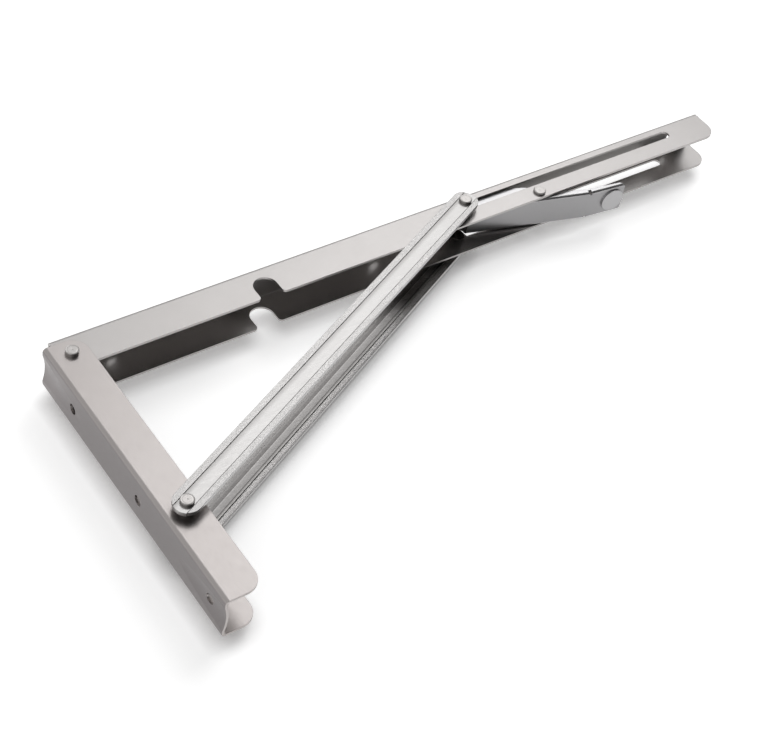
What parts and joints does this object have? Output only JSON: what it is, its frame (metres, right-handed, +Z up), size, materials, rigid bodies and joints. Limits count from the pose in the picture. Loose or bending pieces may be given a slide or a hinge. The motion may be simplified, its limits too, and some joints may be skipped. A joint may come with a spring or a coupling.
{
  "type": "folding shelf bracket",
  "caption": "Folding shelf bracket: a wall channel and a shelf channel braced by paired slotted strut bars, with a sprung release lever.",
  "frame": {"origin": "centre of the middle wall screw hole, on the face that meets the wall", "axes": "+X out from the wall along the open shelf arm, +Y across the bracket, +Z up"},
  "size_m": [0.5, 0.0462, 0.2033],
  "materials": {
    "wall_arm_steel": "satin",
    "shelf_arm_steel": "satin",
    "strut_steel": "satin",
    "lever_steel": "satin",
    "rivet_steel": "satin",
    "tube_steel": "turned",
    "spring_steel": "drawn",
    "nylon": "matte"
  },
  "bodies": {
    "wall": {"wall_arm": "wall_arm_steel", "main_rivet": "rivet_steel", "main_washer_front": "nylon", "main_washer_back": "nylon", "foot_rivet": "rivet_steel", "foot_tube": "tube_steel", "foot_bush_front": "tube_steel", "foot_bush_back": "tube_steel"},
    "shelf": {"shelf_arm": "shelf_arm_steel", "main_tube": "tube_steel", "lever_rivet": "rivet_steel"},
    "strut": {"strut_bar_front": "strut_steel", "strut_bar_back": "strut_steel", "head_rivet_front": "rivet_steel", "head_rivet_back": "rivet_steel"},
    "slide_pins": {"slide_pin_front": "tube_steel", "slide_pin_back": "tube_steel"},
    "lever": {"release_lever": "lever_steel", "lever_tube": "tube_steel", "lever_spring": "spring_steel"}
  },
  "joints": [
    {"name": "main_fold", "type": "hinge", "parent": "wall", "child": "shelf", "pos_m": [0.0132, 0, 0.0993], "axis": [0, 1, 0], "range_deg": [0, 90]},
    {"name": "strut_swing", "type": "hinge", "parent": "wall", "child": "strut", "pos_m": [0.0132, 0, -0.0271], "axis": [0, 1, 0], "range_deg": [0, 114.3]},
    {"name": "pin_slide", "type": "slide", "parent": "shelf", "child": "slide_pins", "axis": [1, 0, 0], "range_m": [0, 0.1564]},
    {"name": "lever_press", "type": "hinge", "parent": "shelf", "child": "lever", "pos_m": [0.3469, 0, 0.0956], "axis": [0, -1, 0], "range_deg": [0, 16], "stiffness_Nm_per_rad": 1, "springref_deg": -17.19}
  ],
  "couplings": [
    {"joint": "strut_swing", "follows": "main_fold", "ratio": 1.2693},
    {"joint": "pin_slide", "follows": "main_fold", "m_per_rad": 0.09936}
  ]
}
